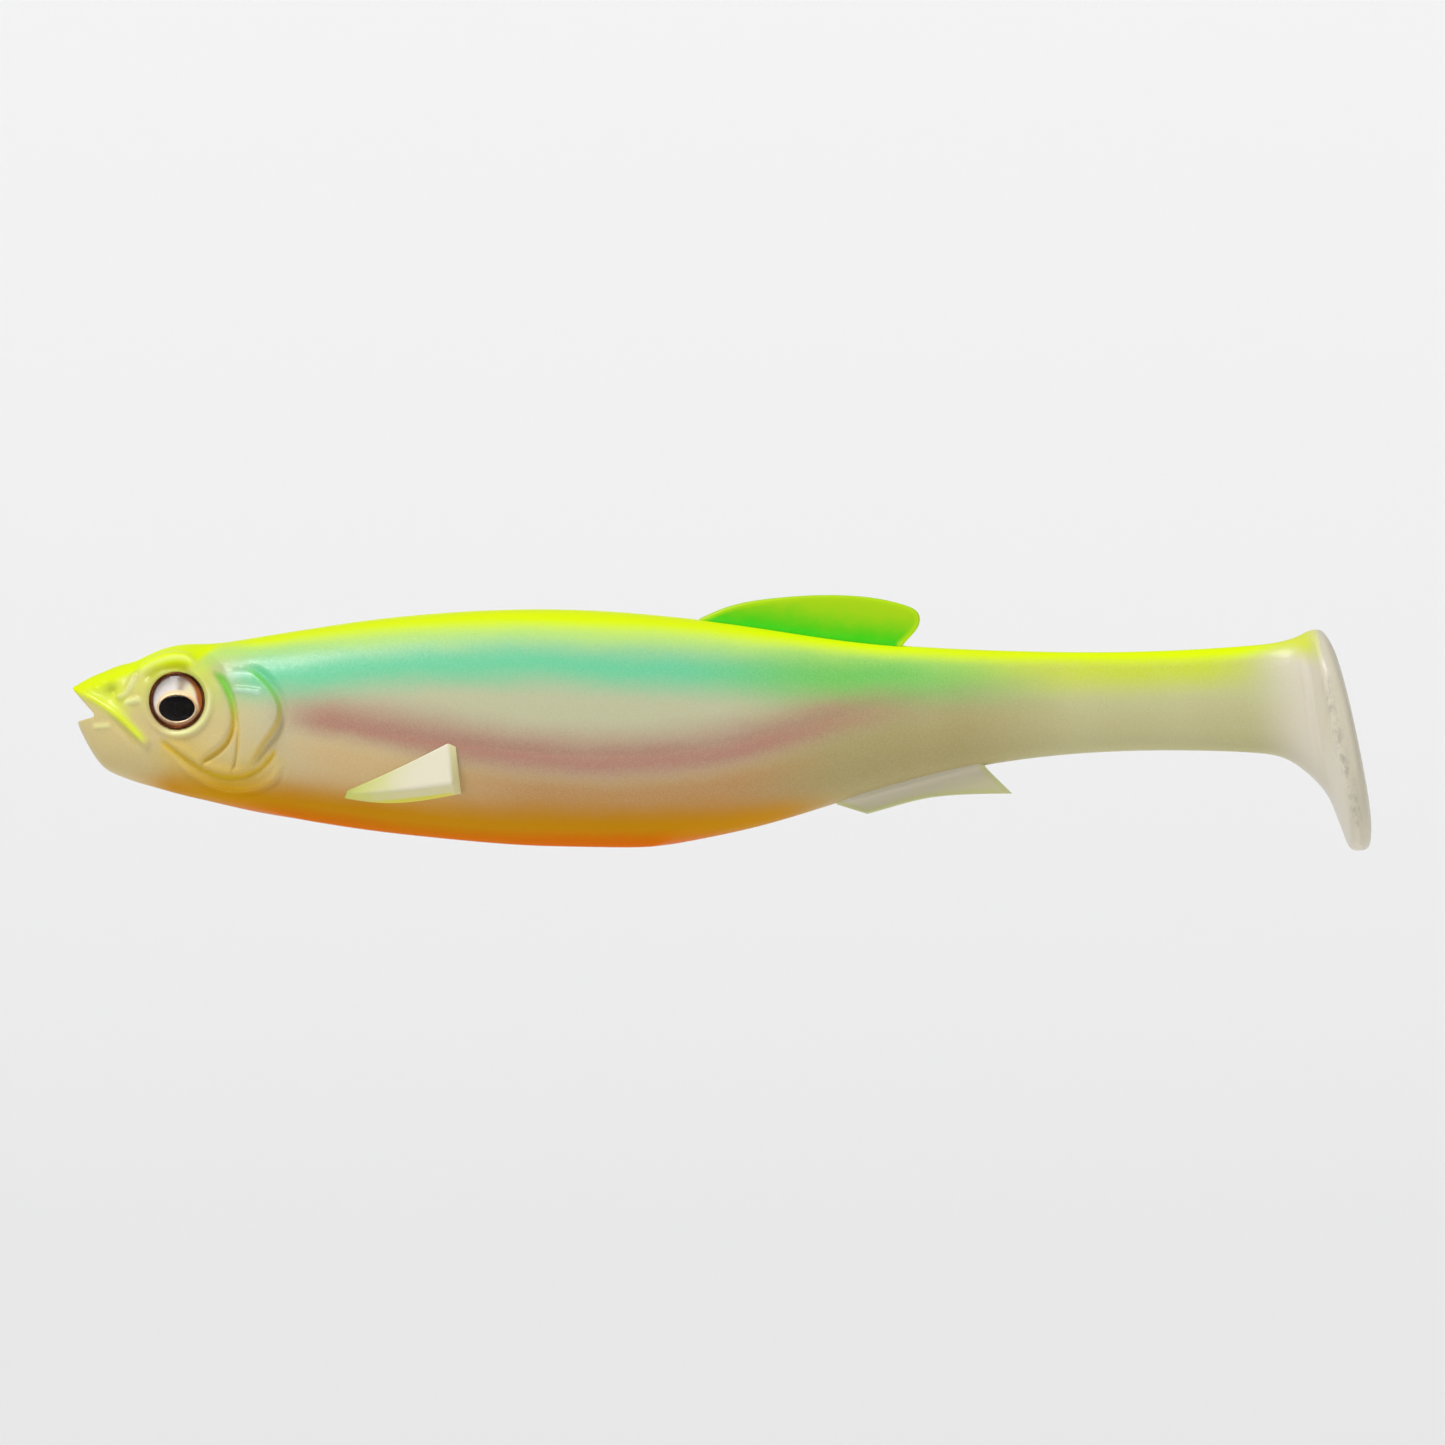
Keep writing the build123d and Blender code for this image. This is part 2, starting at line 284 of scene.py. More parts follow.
def seen_from_side(place):
    """x and z of the places where points appear on the centre plane, seen square from the side at AWAY."""
    middle = np.array((cad_box[0] + cad_box[1]) / 2)[[0, 2]] / MM
    nearer = AWAY / (AWAY - np.abs(place[:, 1:2]))
    return middle + (place[:, [0, 2]] - middle) * nearer


def nearest(points, curve):
    """Signed distance to a curve, positive to its left, and the share of its length at the nearest place."""
    best = np.full(len(points), 1e9)
    side = np.ones(len(points))
    share = np.zeros(len(points))
    along = chord_lengths(curve)
    for i in range(len(curve) - 1):
        start, run = curve[i], curve[i + 1] - curve[i]
        length = np.linalg.norm(run)
        offset = points - start
        t = np.clip(offset @ run / length**2, 0, 1)
        gap = np.linalg.norm(offset - t[:, None] * run, axis=1)
        closer = gap < best
        best = np.where(closer, gap, best)
        turn = run[0] * offset[:, 1] - run[1] * offset[:, 0]
        side = np.where(closer, np.sign(turn), side)
        share = np.where(closer, (along[i] + t * length) / along[-1], share)
    return best * side, share


def faded(share, ends=0.15):
    """1 along a curve's middle, falling to 0 at both of its ends."""
    return ramp(share, 0, ends) * (1 - ramp(share, 1 - ends, 1))


def head_relief(points):
    """The head's height at points x, z, the paint in its grooves, the painted highlights on its ridge lines
    and the painted shade in the hollow under the brow and in the nostril.
    """
    x, z = points.T
    near = {name: nearest(points, drawn_curve(curve)) for name, curve in HEAD_CURVES.items()}

    def along(name, width, beside=0, ends=0.15):
        """1 on the line that runs beside a curve, falling away over the width and at the ends."""
        gap, share = near[name]
        return bell(gap - beside, width) * faded(share, ends)

    # The upper jaw's plate ends in a rolled band over the lower jaw
    gap, share = near["maxilla"]
    height = 0.26 * bell(gap, 0.5) * (1 - ramp(share, 0.92, 1))
    height -= 0.22 * bell(gap + 0.75, 0.45) * ramp(share, 0.4, 0.65) * (1 - ramp(share, 0.8, 1))
    nostril = bell(np.hypot(x - NOSTRIL[0], z - NOSTRIL[1]), 0.75)
    height -= 0.5 * nostril
    height += 0.18 * bell(np.hypot(x - NOSTRIL[0] + 1.4, z - NOSTRIL[1] - 0.2), 0.6)

    # The gill cover overlaps the flank: it rises towards its rear edge and then drops
    inside = ramp(-near["edge"][0], -0.22, 0.22)
    reach = np.clip((x - 15.5) / 5, 0, 1)
    height += 0.55 * inside * reach * ramp(z, -7, -5.2) * (1 - ramp(z, 4.6, 5.6))

    # Raised and sunk lines: the curve, its rise, its width, how far beside the curve it runs, its faded ends
    for name, rise, *line in (
        ("brow", 0.36, 0.5, 0, 0.2),
        ("brow", -0.2, 0.5, -1.05, 0.2),
        ("snout", 0.36, 0.35),
        ("glint", 0.26, 0.35, 0, 0.4),
        ("lip", 0.12, 0.4, 0, 0.3),
        ("edge", -0.16, 0.45, 0.5),
        ("ridge", 0.22, 0.26, 0, 0.2),
        ("cheek", -0.34, 0.3, 0, 0.1),
        ("cheek", 0.14, 0.7, -0.9, 0.2),
        ("second", -0.2, 0.22, 0, 0.1),
        ("gill", -0.22, 0.34, 0, 0.1),
        ("gill", 0.15, 0.5, 0.75, 0.2),
        ("throat", 0.18, 0.32),
        ("throat", -0.14, 0.35, -0.6, 0.2),
    ):
        height += rise * along(name, *line)

    def painted(ends, lines):
        return np.max([strength * along(name, width, ends=ends) for name, width, strength in lines], axis=0)

    # Painted shade in the hollow under the brow and in the nostril
    hollow_shade = np.maximum(0.9 * along("brow", 0.6, -1.15, 0.25), 0.6 * nostril)
    grooves = painted(0.08, GROOVES)
    grooves = np.maximum(grooves, 0.5 * along("gill", 2.2, 0.2, 0.12))
    # The third amount is painted highlights along the ridge lines
    return RELIEF * height, grooves, painted(0.25, RIDGE_HIGHLIGHTS), hollow_shade


# Where the flare meets the paddle's disc, and the front of the disc's rim
DISC_LINE = ((142, 7.5), (142.3, 5.5), (142.8, 2), (143.3, -2), (144.1, -5.8), (145.2, -9), (146.3, -12))
RIM_LINE = ((144.2, 4.8), (144.6, 2.4), (145.5, -2), (146.5, -6.1), (147.2, -8.6), (148, -12.5))


def paddle_relief(points):
    """A hollow where the flare meets the disc, and a step at the front of the disc's rim."""
    gap, share = nearest(points, drawn_curve(DISC_LINE))
    height = faded(share) * (0.22 * bell(gap + 0.55, 0.42) - 0.26 * bell(gap - 0.15, 0.38))
    gap, share = nearest(points, drawn_curve(RIM_LINE))
    return height - 0.16 * ramp(gap, -0.2, 0.3) * faded(share)


def lateral_relief(points):
    """A shallow crease along the flank."""
    gap, share = nearest(points, drawn_curve(LATERAL))
    return -0.12 * bell(gap, 0.9) * faded(share, 0.2) - 0.09 * bell(gap, 0.25) * bell(share - 0.33, 0.2)


# ---- the mouth

MOUTH_UPPER_SLOPE = 1.05  # how fast the upper lip rises to the front
MOUTH_LOWER_SLOPE = 0.26
MOUTH_CORNER = 0.4  # height of the mouth's blunt corner
LIP_ROUNDING = 0.26


def open_mouth(points):
    """Moves points in front of the mouth's wedge back onto its faces, with rounded lips."""
    x, z = points[:, 0], points[:, 2]
    wedge = np.where(z > 0, -z / MOUTH_UPPER_SLOPE, np.minimum(0, (z + MOUTH_CORNER) / MOUTH_LOWER_SLOPE))
    apart = x - wedge
    rounding = LIP_ROUNDING * (1 - ramp(x, 0.2, 1.4)) * ramp(z, -1.6, -1)
    rounded = (apart + np.sqrt(apart * apart + rounding**2)) / 2
    near = (z > -1.6) & (z < 3.6) & (x < 1.5)
    points[:, 0] = np.where(near, np.maximum(x, wedge + rounded), x)
    return points


def seat_eyes(rings):
    """Brings the skin to the eyes' faces, with a raised lip round each, and hollows it behind the eyes."""
    for side in (-1, 1):
        centre, forward, up, out = eye_frame(side)
        offset = rings - centre
        ahead, high, proud = offset @ forward, offset @ up, offset @ out
        from_axis = np.hypot(ahead, high)
        here = (rings[:, :, 1] * side > 0.5) & (from_axis < 8) & (rings[:, :, 0] < 20)
        lower_rear = 0.5 + 0.5 * np.clip((-ahead - high) / 4, -1, 1)
        flat = 1 - ramp(from_axis, 3.9, 6.6)
        target = 0.04 + (0.08 + 0.42 * lower_rear) * bell(from_axis - 3.95, 0.36)
        moved = (target - proud) * flat
        hollow = 1 - ramp(from_axis, 3.05, 3.3)
        moved = moved + (-CUP_DEPTH - 0.3 - (proud + moved)) * hollow
        rings = rings + np.where(here, moved, 0)[:, :, None] * out
    return rings


def square_belly(rings):
    """Brings the flesh beside the belly slot down to the belly's line, so that the slot has full lips."""
    x, y, z = rings[:, :, 0], rings[:, :, 1], rings[:, :, 2]
    lowest = z.min(axis=1, keepdims=True)
    along = ramp(x, 16, 26) * (1 - ramp(x, 65.2, 68.8))
    beside = 1 - ramp(np.abs(y), 2.3, 4.4)
    share = along * beside * (z < lowest + 3)
    rings[:, :, 2] = z + (lowest - z) * share
    return rings


# ---- meshes


def add(name, data):
    """A new object in the scene."""
    made = bpy.data.objects.new(name, data)
    bpy.context.scene.collection.objects.link(made)
    return made


def new_mesh(name, points, faces):
    """A mesh object in metres from points in millimetres, shaded smooth."""
    mesh = bpy.data.meshes.new(name)
    mesh.from_pydata((np.asarray(points) * MM).tolist(), [], faces)
    mesh.update()
    clean = bmesh.new()
    clean.from_mesh(mesh)
    bmesh.ops.recalc_face_normals(clean, faces=clean.faces)
    clean.to_mesh(mesh)
    clean.free()
    mesh.polygons.foreach_set("use_smooth", np.ones(len(mesh.polygons), bool))
    return add(name, mesh)


def tube_faces(count, around, closed=False):
    """Faces from each ring of points to the next, and from the last to the first where closed."""
    faces = []
    for i in range(count if closed else count - 1):
        a, b = i * around, (i + 1) % count * around
        for j in range(around):
            k = (j + 1) % around
            faces.append((a + j, a + k, b + k, b + j))
    return faces


def ring_mesh(name, rings, start=None, end=None):
    """A closed mesh through rings of points. Its ends close on the given points or on the rings' middles."""
    count, around = rings.shape[:2]
    start = rings[0].mean(axis=0) if start is None else start
    end = rings[-1].mean(axis=0) if end is None else end
    faces = tube_faces(count, around)
    first, a = count * around, (count - 1) * around
    for j in range(around):
        k = (j + 1) % around
        faces.append((first, k, j))
        faces.append((first + 1, a + j, a + k))
    return new_mesh(name, np.concatenate([rings.reshape(-1, 3), [start], [end]]), faces)


def sharpen(piece, chosen, angle=40):
    """Marks edges of at least the angle, in degrees, as hard, where chosen(middle in mm) says so."""
    edit = bmesh.new()
    edit.from_mesh(piece.data)
    for edge in edit.edges:
        if len(edge.link_faces) == 2 and edge.calc_face_angle(0) >= math.radians(angle):
            if chosen((edge.verts[0].co + edge.verts[1].co) / (2 * MM)):
                edge.smooth = False
    edit.to_mesh(piece.data)
    edit.free()


def cut_slot(piece):
    """Cuts the belly slot for the hook, a long slot with round ends that opens downwards."""
    low, high = frame["record"]["physics"]["openings"][0]["box_m"]
    half_width = (high[1] - low[1]) / 2 / MM + 0.08
    roof = high[2] / MM + 0.1
    start, end = low[0] / MM, high[0] / MM
    turn = np.linspace(0, math.pi, 17)
    outline = [(start - half_width * math.sin(a), half_width * math.cos(a)) for a in turn]
    outline += [(end + half_width * math.sin(a), -half_width * math.cos(a)) for a in turn]
    rings = np.array([[(x, y, z) for x, y in outline] for z in (-30, roof)])
    cutter = ring_mesh("slot_cutter", rings)
    cut = piece.modifiers.new("slot", "BOOLEAN")
    cut.operation = "DIFFERENCE"
    cut.solver = "EXACT"
    cut.object = cutter
    shape = bpy.data.meshes.new_from_object(piece.evaluated_get(bpy.context.evaluated_depsgraph_get()))
    piece.modifiers.clear()
    piece.data = shape
    bpy.data.objects.remove(cutter)

    def in_slot(p):
        return p.z < roof + 0.1 and abs(p.y) < half_width + 0.05 and start - 3 < p.x < end + 3

    sharpen(piece, in_slot)
    return piece


def dress(piece, material, slot, *hidden):
    """Gives a piece its material and hides the CAD solids that it stands for. The slot is not used."""
    piece.data.materials.clear()
    piece.data.materials.append(material)
    if hidden:
        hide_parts(*hidden)


# ---- paint, as heights on the flank

# The lower edge of the chartreuse back, by x
CHARTREUSE_EDGE = (
    (-2.7, 2.3), (1, 3.3), (4, 4.5), (7, 5.5), (11, 5.6), (12.6, 6.4), (13.8, 7.4), (18, 8.1), (24, 8.7),
    (35.7, 10), (47.4, 10.5), (59, 10.3), (71, 9.5), (83, 8.1), (95, 7), (106, 6.5), (118, 6.3),
    (129.5, 6.5), (136, 7.1), (139, 7.6), (141.3, 7.5), (143, 6.9), (150, 6),
)
# How softly it ends, in mm, by x
CHARTREUSE_SOFT = ((16, 0.7), (30, 1), (80, 1.1), (100, 1), (125, 0.9))
# The middles of the teal and rose bands, and the upper edge of the gold belly, by x
TEAL_LINE = (
    (12, 4.3), (18, 4.4), (24, 4.8), (35.7, 5.7), (47.4, 6), (59, 5.6), (71, 4.9), (83, 4.6), (95, 4.4),
    (112, 3.6),
)
ROSE_LINE = (
    (18, 0.4), (24, -0.5), (35.7, -2.5), (45, -4.3), (54.4, -5.5), (65, -5.6), (73.2, -4.7), (82.6, -2.4),
    (94.3, 0.7), (112, 2.6),
)
GOLD_EDGE = (
    (-3, -8.6), (6, -7.3), (9.4, -6.5), (15, -6.9), (23, -7.6), (35.7, -9.5), (47.4, -10.5), (59, -10.6),
    (68, -10.6), (76, -10.4), (82.6, -10.2), (88, -10.2), (150, -30),
)


def store(piece, name, values):
    """Keeps one number a vertex on the mesh, where materials read it and no pose changes it."""
    kept = piece.data.attributes.new(name, "FLOAT", "POINT")
    kept.data.foreach_set("value", np.asarray(values, np.float32))


def store_place(piece):
    """Keeps each vertex's place at rest, in millimetres, for the materials' grain."""
    place = points_of(piece)
    kept = piece.data.attributes.new("place", "FLOAT_VECTOR", "POINT")
    kept.data.foreach_set("vector", place.astype(np.float32).ravel())
    return place


def points_of(piece):
    """A mesh's points in millimetres."""
    place = np.empty(len(piece.data.vertices) * 3)
    piece.data.vertices.foreach_get("co", place)
    return place.reshape(-1, 3) / MM


def store_paint(piece):
    """Keeps what the skin's paint needs: heights over the painted lines, and the amounts of other paint,
    painted highlights and painted shade among them.
    """
    place = store_place(piece)
    x, y, z = place.T
    softness = np.interp(x, *zip(*CHARTREUSE_SOFT))
    store(piece, "over_chartreuse", (z - spline(*zip(*CHARTREUSE_EDGE), x)) / softness)
    store(piece, "over_teal", z - spline(*zip(*TEAL_LINE), x))
    store(piece, "over_rose", z - spline(*zip(*ROSE_LINE), x))
    store(piece, "over_gold", z - np.interp(x, *zip(*GOLD_EDGE)))

    seen = seen_from_side(place)
    maxilla = HEAD_CURVES["maxilla"]
    # The second amount is painted highlights on the head's ridge lines, the third painted shade under its
    # brow and in its nostril
    names = ("grooves", "ridge_highlights", "hollow_shade", "jaw_band", "snout", "rim", "flecked")
    painted = {name: np.zeros(len(x)) for name in names}
    head = (x < HEAD_END) & (np.abs(y) > 0.5)
    for name, amount in zip(names, head_relief(seen[head])[1:]):
        painted[name][head] = amount
    jaw_gap, share = nearest(seen[head], drawn_curve(maxilla))
    painted["jaw_band"][head] = bell(jaw_gap, 0.55) * (1 - ramp(share, 0.78, 1))
    # A painted highlight on the lip round the lower rear of the eye, added to the highlights on the ridge
    # lines
    off_eye = seen[head] - seen_from_side(eye_frame(-1)[0][None])
    lip = bell(np.hypot(*off_eye.T) - 3.85, 0.36)
    lip = 0.75 * lip * ramp(off_eye[:, 0] - off_eye[:, 1], 0.5, 4.5)
    painted["ridge_highlights"][head] = np.maximum(painted["ridge_highlights"][head], lip)
    front = x < 20
    near_x, near_z = seen[front].T
    snout = 1 - ramp(np.hypot((near_x + 2) / 1.15, (near_z - 3.2) / 1.5), 3.6, 6.6)
    snout = snout * ramp(nearest(seen[front], drawn_curve(maxilla, 12))[0], -0.3, 0.5)
    below_brow = 1 - ramp(np.hypot(near_x - 9.5, near_z - 1.5), 4.4, 6.6)
    painted["snout"][front] = np.maximum(snout, 0.55 * below_brow * ramp(near_z, -1, 4.5))
    rear = x > 140
    rim_gap = nearest(seen[rear], drawn_curve(RIM_LINE))[0]
    painted["rim"][rear] = ramp(rim_gap, -0.45, 0.55)
    painted["flecked"][rear] = bell(rim_gap - 0.15, 0.55)
    for name, amount in painted.items():
        store(piece, name, amount)

    seam_gap = np.min([np.abs(x - seam) for seam in SEAMS], axis=0)
    beside_slot = ramp(-z, 5.8, 6.4) * (np.abs(y) < 2.25)
    store(piece, "softness", ramp(seam_gap, 0.3, 3.5) * (1 - beside_slot))
    store(piece, "paddle", ramp(x + 0.1 * z, 134.5, 142.5))


# ---- materials


def colour(red, green, blue):
    """A shader colour from the 0 to 255 values that a screen shows."""
    linear = [((c / 255 + 0.055) / 1.055) ** 2.4 if c > 10 else c / 255 / 12.92 for c in (red, green, blue)]
    return (*linear, 1)


# Places of the colour sockets in a Mix node's lists: the factor, the two colours, and the result
COLOUR_MIX_INPUTS = (0, 6, 7)
COLOUR_MIX_RESULT = 2


class Paint:
    """A material's nodes, built up one layer at a time.

    An amount is a number, a socket or the name of an amount stored on the mesh. A colour is a socket or the
    0 to 255 values that a screen shows.
    """

    def __init__(self, name, **settings):
        self.material = bpy.data.materials.new(name)
        self.material.use_nodes = True
        self.tree = self.material.node_tree
        self.shader = self.tree.nodes["Principled BSDF"]
        self.base = None
        for socket, value in settings.items():
            self.shader.inputs[socket.replace("_", " ")].default_value = value

    def node(self, kind, **settings):
        made = self.tree.nodes.new("ShaderNode" + kind)
        for key, value in settings.items():
            setattr(made, key, value)
        return made

    def give(self, socket, value):
        """Sets or links an input socket."""
        if isinstance(value, str):
            value = self.attribute(value)
        elif isinstance(value, tuple):
            value = colour(*value)
        if isinstance(value, (int, float, tuple)):
            socket.default_value = value
        else:
            self.tree.links.new(value, socket)

    def give_all(self, sockets, **values):
        for name, value in values.items():
            self.give(sockets[name.replace("_", " ")], value)

    def attribute(self, name, output="Fac"):
        return self.node("Attribute", attribute_name=name).outputs[output]

    def noise(self, scale, detail=2, roughness=0.5, stretch=None):
        """Noise over the place at rest, with scale in features to a millimetre."""
        place = self.attribute("place", "Vector")
        if stretch:
            mapping = self.node("Mapping")
            mapping.inputs["Scale"].default_value = stretch
            self.give(mapping.inputs["Vector"], place)
            place = mapping.outputs["Vector"]
        made = self.node("TexNoise")
        self.give_all(made.inputs, Scale=scale, Detail=detail, Roughness=roughness, Vector=place)
        return made.outputs["Fac"]

    def sway(self, *settings):
        """Noise about 0."""
        return self.math("SUBTRACT", self.noise(*settings), 0.5)

    def math(self, operation, first, second):
        made = self.node("Math", operation=operation)
        self.give(made.inputs[0], first)
        self.give(made.inputs[1], second)
        return made.outputs[0]

    def times(self, first, second):
        return self.math("MULTIPLY", first, second)

    def fit(self, value, low, high, to_low=0, to_high=1):
        """The value, smoothly brought from one range to another."""
        made = self.node("MapRange", interpolation_type="SMOOTHSTEP")
        for socket, given in zip(made.inputs, (value, low, high, to_low, to_high)):
            self.give(socket, given)
        return made.outputs["Result"]

    def hump(self, value, below, above):
        """1 where the value is 0, falling to 0 at the given distances below and above."""
        return self.times(self.fit(value, -below, 0), self.fit(value, 0, above, 1, 0))

    def mix(self, amount, under, over):
        """The over colour laid on the under colour by the amount."""
        made = self.node("Mix", data_type="RGBA")
        for number, value in zip(COLOUR_MIX_INPUTS, (amount, under, over)):
            self.give(made.inputs[number], value)
        return made.outputs[COLOUR_MIX_RESULT]

    def lay(self, amount, over):
        """Lays a colour on the layers so far."""
        self.base = self.mix(amount, self.base, over)

    def finish(self, roughness, bump=None, strength=0, distance=0):
        """The material, with its layers and roughness and, where there is one, its bump."""
        self.give_all(self.shader.inputs, Base_Color=self.base, Roughness=roughness)
        if bump is not None:
            made = self.node("Bump")
            self.give_all(made.inputs, Strength=strength, Distance=distance, Height=bump)
            self.give(self.shader.inputs["Normal"], made.outputs["Normal"])
        return self.material


VINYL = {
    "Subsurface_Radius": (1, 0.75, 0.45),
    "Subsurface_Scale": 0.0009,
    "Coat_Weight": 0.12,
    "Coat_Roughness": 0.14,
    "Specular_IOR_Level": 0.32,
    "IOR": 1.48,
}


def vinyl_grain(paint):
    """The fine pearl grain that all the vinyl has: its roughness and its bump."""
    grain = paint.noise(2.2, 3, 0.6)
    roughness = paint.fit(grain, 0.3, 0.7, 0.3, 0.42)
    return grain, roughness


def painted_skin():
    """Pearl vinyl, sprayed chartreuse, teal and rose on the flanks and orange under the belly."""
    paint = Paint("painted_skin", **VINYL)
    fit, mix, times, lay = paint.fit, paint.mix, paint.times, paint.lay
    place = paint.node("SeparateXYZ")
    paint.give(place.inputs[0], paint.attribute("place", "Vector"))
    x, z = place.outputs["X"], place.outputs["Z"]
    drift = paint.sway(0.22, 3, 0.55, (0.5, 1, 1))
    spray = paint.sway(2.4, 4, 0.7)
    wander = paint.math("ADD", times(drift, 1.6), times(spray, 0.9))

    def over(name, amount=1):
        """The height over a painted line, with the line's own wander."""
        return paint.math("ADD", name, times(wander, amount))

    def window(low, full, falling, none):
        """1 between the x values full and falling, and 0 before low and after none."""
        return times(fit(x, low, full), fit(x, falling, none, 1, 0))

    # The bare vinyl, tan below the rose band
    rear, stem = fit(x, 72, 90), fit(x, 99, 118)
    paint.base = mix(rear, (201, 200, 162), mix(stem, (182, 178, 124), (204, 206, 148)))
    lay(fit(x, 13, 23, 1, 0), (217, 200, 134))
    over_rose = over("over_rose")
    tan = mix(fit(x, 32, 54), (216, 184, 128), (198, 149, 88))
    tan = mix(rear, tan, mix(stem, (180, 165, 106), (200, 194, 140)))
    lay(times(fit(over_rose, 0.8, -3.8), fit(x, 16, 30, 0.25, 1)), tan)

    # The bands along the flank
    rose = times(paint.hump(over_rose, 2.8, 5.4), window(19, 28, 76, 106))
    lay(times(rose, 0.84), (181, 118, 102))
    near_back = over("over_chartreuse", 0.6)
    pale = times(fit(near_back, -4.6, -0.9), fit(x, 10, 14, 0, 0.85))
    on_stem = times(fit(near_back, -5.8, -1.2), fit(x, 96, 118))
    pale = times(paint.math("MAXIMUM", pale, on_stem), fit(x, 129, 141.5, 1, 0))
    lay(pale, mix(fit(x, 92, 112), (196, 240, 100), (208, 222, 56)))
    teal = times(paint.hump(over("over_teal"), 4.6, 4.2), window(12, 20, 90, 116))
    lay(teal, mix(fit(x, 66, 88), (110, 212, 160), (118, 206, 92)))

    # The back and the belly
    over_back = over("over_chartreuse", 0.35)
    back = fit(over_back, -1.25, 0.75)
    lay(back, (230, 255, 0))
    gold = times(fit(over("over_gold", 0.8), 1.9, -2.6), window(1, 9.5, 80, 93))
    lay(gold, (209, 144, 0))
    lay(times(fit(over("over_gold", 0.6), -2.6, -5), window(8, 18, 78, 90)), (230, 114, 0))

    # The head's paint by its relief: yellow snout and jaw band, gold and green grooves, painted shade in the
    # brow's hollow and the nostril, and painted highlights on the ridge lines
    lay(times("snout", 0.8), (228, 246, 20))
    # Painted shade: olive in the hollow under the brow and in the nostril
    lay("hollow_shade", (190, 196, 0))
    lay("grooves", mix(fit(z, -2, 3.4), (228, 190, 16), (120, 226, 30)))
    lay("jaw_band", (230, 244, 6))
    # Painted highlights: pale yellow on the ridge lines in front of the gill cover, pale cyan on the gill
    # cover
    lay("ridge_highlights", mix(fit(x, 14.2, 15.4), (252, 255, 176), (206, 250, 230)))

    # The paddle, with flecks along the front of its rim
    flare = times(fit(over_back, -2.2, 1), fit(x, 141.6, 144.4, 1, 0))
    pearl = mix(flare, (226, 218, 198), (222, 230, 84))
    lay("paddle", mix("rim", pearl, (213, 206, 184)))
    flecks = fit(paint.noise(1.1, 5, 0.75, (1, 1, 0.5)), 0.46, 0.62)
    lay(times(flecks, times("flecked", 0.6)), (166, 161, 148))

    # Sprayed paint is less glossy than the bare vinyl, and hides its pearl
    sprayed = paint.math("MAXIMUM", gold, times(back, 0.85))
    shimmer = fit(paint.noise(5.5, 2, 0.8), 0.35, 0.75, 0, 0.1)
    lay(times(shimmer, fit(sprayed, 0, 0.8, 1, 0.08)), (255, 252, 240))
    paint.give_all(
        paint.shader.inputs,
        Specular_IOR_Level=fit(sprayed, 0, 1, 0.32, 0.03),
        Coat_Weight=fit(sprayed, 0, 1, 0.12, 0.04),
        Subsurface_Weight=times("softness", 0.22),
    )
    grain, roughness = vinyl_grain(paint)
    return paint.finish(roughness, grain, 0.6, 0.00006)


def plain_vinyl(name, low, high, edge, soft=0.3):
    """Vinyl that shades from one colour at the root to another at the edge."""
    paint = Paint(name, Subsurface_Weight=soft, **VINYL)
    drift = paint.times(paint.sway(0.6, 3), 0.3)
    paint.base = paint.mix(paint.fit(paint.math("ADD", "reach", drift), -0.1, 0.85), low, high)
    paint.lay(paint.fit("rim", 0, 1), edge)
    grain, roughness = vinyl_grain(paint)
    return paint.finish(roughness, grain, 0.25, 0.00003)


def metal(name, base, roughness, variation, metallic=1):
    """Bright metal, or paint with metal in it, with a slightly uneven colour."""
    paint = Paint(name, Metallic=metallic, IOR=1.45)
    paint.base = paint.mix(paint.fit(paint.noise(0.5, 3, 0.6), 0.3, 0.7), base, variation)
    return paint.finish(paint.fit(paint.noise(4, 2), 0.3, 0.7, roughness * 0.8, roughness * 1.2))


def iris_foil():
    """Silver printed foil with fine rays, a tan streak above the pupil and copper towards the rear."""
    paint = Paint("iris_foil", Metallic=0.05, IOR=1.45)
    rays = paint.fit("rays", 0.2, 0.8)
    paint.base = paint.mix(rays, (255, 252, 250), (242, 234, 232))
    paint.lay("cream", (255, 246, 196))
    paint.lay("streak", (176, 152, 124))
    paint.lay("edge", (120, 62, 30))
    paint.lay("copper", (182, 98, 30))
    paint.lay("glow", (255, 236, 196))
    return paint.finish(paint.fit(rays, 0, 1, 0.24, 0.34))


def clear_lens():
    """Clear cast resin."""
    paint = Paint("clear_lens", Transmission_Weight=1, IOR=1.4, Roughness=0)
    paint.shader.inputs["Specular Tint"].default_value = (0.25, 0.25, 0.25, 1)
    paint.shader.inputs["Base Color"].default_value = (1, 0.99, 0.975, 1)
    return paint.material


def gloss_black():
    """Printed black under the lens."""
    paint = Paint("pupil_black", IOR=1.5, Specular_IOR_Level=0.1)
    paint.base = paint.mix(paint.fit(paint.noise(1.5, 2), 0.3, 0.7), (6, 4, 5), (14, 9, 9))
    return paint.finish(paint.fit(paint.noise(3, 2), 0.3, 0.7, 0.12, 0.2))


# ---- the skins


def whole_body():
    """The moulding's surface with all its relief, as rings, and the points that close its ends."""
    rings, nose, tail = body_rings()
    flat = rings.reshape(-1, 3)
    normals = ring_normals(rings).reshape(-1, 3)
    x, seen = flat[:, 0].copy(), seen_from_side(flat)
    height = np.zeros(len(flat))
    for here, relief in (
        (x < HEAD_END, lambda points: head_relief(points)[0]),
        ((x > 22) & (x < 108), lateral_relief),
        (x > 139, paddle_relief),
    ):
        height[here] += relief(seen[here])
    sideways = ramp(np.abs(normals[:, 1]), 0.25, 0.7)
    rings = square_belly(seat_eyes(rings))
    flat = open_mouth(rings.reshape(-1, 3) + normals * (height * sideways)[:, None])
    return flat.reshape(rings.shape), np.array([nose[0], 0, nose[1]]), np.array([tail[0], 0, tail[1]])


